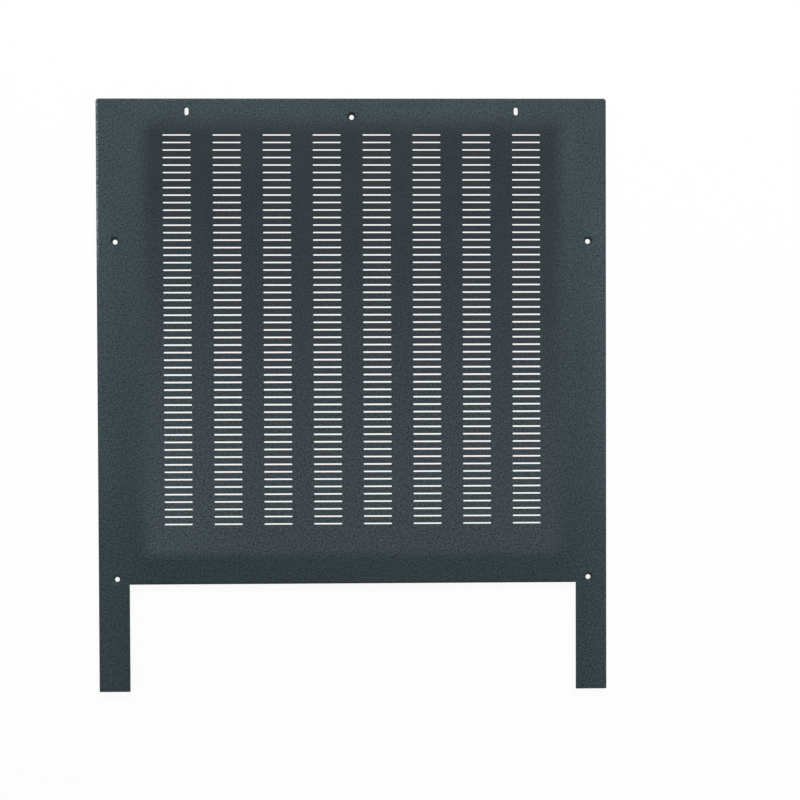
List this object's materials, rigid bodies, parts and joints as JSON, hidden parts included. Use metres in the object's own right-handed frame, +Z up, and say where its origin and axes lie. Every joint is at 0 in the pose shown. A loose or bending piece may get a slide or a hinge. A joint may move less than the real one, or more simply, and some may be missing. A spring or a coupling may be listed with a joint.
{
  "type": "vented rack top panel",
  "caption": "Folded steel top panel for an equipment rack, with rows of cooling slots, countersunk screw holes and a rear notch between its legs.",
  "frame": {"origin": "centre of the panel's length and width, on the surface that its flange edges rest on", "axes": "+Z up out of the top face, +Y to the front edge, the two legs running back to -Y, +X to the right seen from above with the front edge at the top"},
  "size_m": [0.52, 0.6046, 0.0127],
  "materials": {
    "textured_black_powder_coat": "matte"
  },
  "bodies": {
    "root": {"vented_top_panel": "textured_black_powder_coat"}
  },
  "joints": []
}
